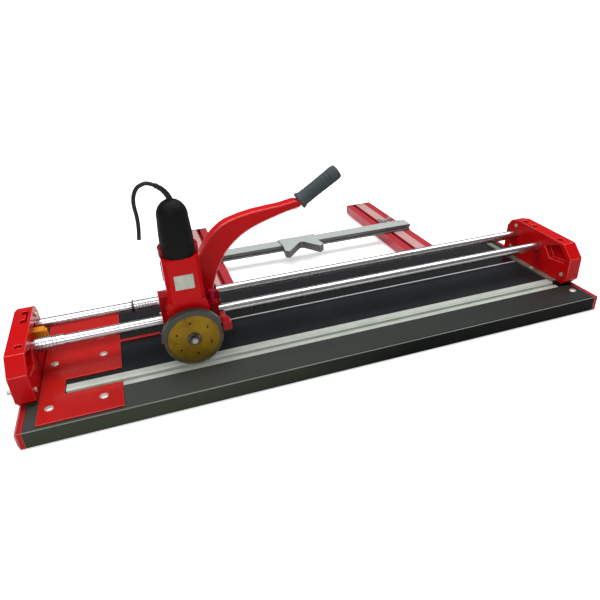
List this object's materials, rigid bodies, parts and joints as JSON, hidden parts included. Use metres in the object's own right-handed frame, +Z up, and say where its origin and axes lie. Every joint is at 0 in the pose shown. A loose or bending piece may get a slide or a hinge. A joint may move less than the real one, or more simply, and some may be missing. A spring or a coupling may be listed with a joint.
{
  "type": "rail tile cutter",
  "caption": "Long red and black tile cutter with a chrome-rail carriage that carries a scoring lever and a motor saw, and side arms with a fence and angle stop.",
  "frame": {"origin": "on the ground plane under the middle of the overall width and depth", "axes": "+X along the rails from the left end to the right end, +Y from the front edge of the table towards the side arms, +Z up"},
  "size_m": [1.226, 0.807, 0.3843],
  "materials": {
    "black_profile": "gloss black coated extrusion",
    "olive_deck": "dark anodised sheet",
    "pad_rubber": "matte sheet rubber",
    "gloss_black": "polished black sheet",
    "ridge_alu": "brushed strip",
    "bright_trim": "bright strip",
    "red_steel": "semi-gloss red paint",
    "zinc_plate": "dull zinc plated sheet",
    "red_cast": "gloss red paint on cast aluminium",
    "red_carriage": "gloss deep red paint on cast aluminium",
    "red_plastic": "moulded red plastic",
    "red_anodised": "satin red anodised extrusion",
    "scale_strip": "faded measuring strip",
    "black_plastic": "fine textured black plastic",
    "bolt_steel": "zinc plated",
    "rail_chrome": "hard chrome",
    "bumper_orange": "soft orange plastic",
    "foot_rubber": "matte rubber",
    "bronze": "sintered bronze",
    "dark_steel": "dark oiled steel",
    "crimson_pin": "gloss crimson paint on steel",
    "steel_pin": "ground steel",
    "grip_rubber": "moulded dark grey rubber",
    "carbide": "hardened wheel",
    "label_grey": "blank grey label",
    "guard_steel": "pressed steel",
    "winding": "varnished iron and winding",
    "cord_pvc": "flexible cord jacket",
    "blade_gold": "gold-brown coated steel",
    "blade_rim": "sintered diamond rim",
    "fence_alu": "satin light grey aluminium",
    "silver_hardware": "plated hardware"
  },
  "bodies": {
    "table": {"base_table": "black_profile", "front_deck": "olive_deck", "centre_pad": "pad_rubber", "rear_deck": "gloss_black", "breaking_ridge": "ridge_alu", "edge_trim": "bright_trim", "left_foot_plate": "red_steel", "right_foot_plate": "zinc_plate", "plate_bolts": "bolt_steel", "left_end_cap": "red_plastic", "right_end_cap": "red_plastic", "left_housing": "red_cast", "right_housing": "red_cast", "frame_bolts": "bolt_steel", "front_rail": "rail_chrome", "rear_rail": "rail_chrome", "rail_collar": "rail_chrome", "bumper": "bumper_orange", "rubber_feet": "foot_rubber", "left_arm": "red_anodised", "right_arm": "red_anodised", "arm_scales": "scale_strip", "arm_end_caps": "black_plastic"},
    "carriage": {"carriage_body": "red_carriage", "carriage_bushes": "bronze", "rear_sleeve": "rail_chrome", "carriage_pins": "steel_pin", "carriage_bolts": "bolt_steel"},
    "lever": {"lever_arm": "red_cast", "lever_grip": "grip_rubber"},
    "foot": {"foot_block": "red_carriage", "foot_pads": "foot_rubber", "foot_pins": "crimson_pin"},
    "scoring_wheel": {"scoring_wheel": "carbide"},
    "saw": {"motor_housing": "black_plastic", "motor_cap": "black_plastic", "gear_case": "red_cast", "label_plate": "label_grey", "saw_bracket": "red_carriage", "blade_guard": "guard_steel", "stator": "winding", "brush_gear": "bronze", "bearings": "steel_pin", "strain_relief": "grip_rubber", "mains_cord": "cord_pvc"},
    "saw_lock_knob": {"saw_lock_knob": "black_plastic"},
    "power_switch": {"power_switch": "black_plastic"},
    "armature": {"armature": "winding", "motor_fan": "black_plastic"},
    "blade": {"spindle": "steel_pin", "blade_core": "blade_gold", "blade_rim": "blade_rim", "blade_flanges": "dark_steel"},
    "fence": {"fence_bar": "fence_alu", "fence_clamps": "silver_hardware"},
    "left_wing_knob": {"left_wing_knob": "silver_hardware"},
    "right_wing_knob": {"right_wing_knob": "silver_hardware"},
    "angle_stop": {"angle_stop": "fence_alu"}
  },
  "joints": [
    {"name": "carriage_slide", "type": "slide", "parent": "table", "child": "carriage", "axis": [1, 0, 0], "range_m": [-0.175, 0.745]},
    {"name": "lever_pivot", "type": "hinge", "parent": "carriage", "child": "lever", "pos_m": [-0.228, -0.1985, 0.112], "axis": [0, 1, 0], "range_deg": [0, 25]},
    {"name": "foot_press", "type": "slide", "parent": "carriage", "child": "foot", "axis": [0, 0, -1], "range_m": [0, 0.05]},
    {"name": "scoring_wheel_spin", "type": "hinge", "parent": "foot", "child": "scoring_wheel", "pos_m": [-0.218, -0.3105, 0.102], "axis": [0, 1, 0], "continuous": true},
    {"name": "saw_lift", "type": "slide", "parent": "carriage", "child": "saw", "axis": [0, 0, 1], "range_m": [-0.004, 0.02]},
    {"name": "saw_lock_turn", "type": "hinge", "parent": "saw", "child": "saw_lock_knob", "pos_m": [-0.284, -0.2065, 0.197], "axis": [0, 1, 0], "range_deg": [-180, 0]},
    {"name": "power_switch_slide", "type": "slide", "parent": "saw", "child": "power_switch", "axis": [0, 0, 1], "range_m": [0, 0.007]},
    {"name": "armature_spin", "type": "hinge", "parent": "saw", "child": "armature", "pos_m": [-0.282, -0.2765, 0.2], "axis": [0, 0, 1], "continuous": true},
    {"name": "blade_spin", "type": "hinge", "parent": "saw", "child": "blade", "pos_m": [-0.282, -0.3195, 0.0935], "axis": [0, 1, 0], "continuous": true},
    {"name": "fence_slide", "type": "slide", "parent": "table", "child": "fence", "axis": [0, 1, 0], "range_m": [-0.165, 0.2]},
    {"name": "left_wing_turn", "type": "hinge", "parent": "fence", "child": "left_wing_knob", "pos_m": [-0.169, 0.1775, 0.045], "axis": [0, 0, 1], "range_deg": [0, 180]},
    {"name": "right_wing_turn", "type": "hinge", "parent": "fence", "child": "right_wing_knob", "pos_m": [0.361, 0.1775, 0.045], "axis": [0, 0, 1], "range_deg": [0, 180]},
    {"name": "angle_stop_slide", "type": "slide", "parent": "fence", "child": "angle_stop", "axis": [1, 0, 0], "range_m": [-0.165, 0.27]}
  ],
  "couplings": [
    {"joint": "foot_press", "follows": "lever_pivot", "m_per_rad": 0.1145},
    {"joint": "armature_spin", "follows": "blade_spin", "ratio": 3.2}
  ]
}
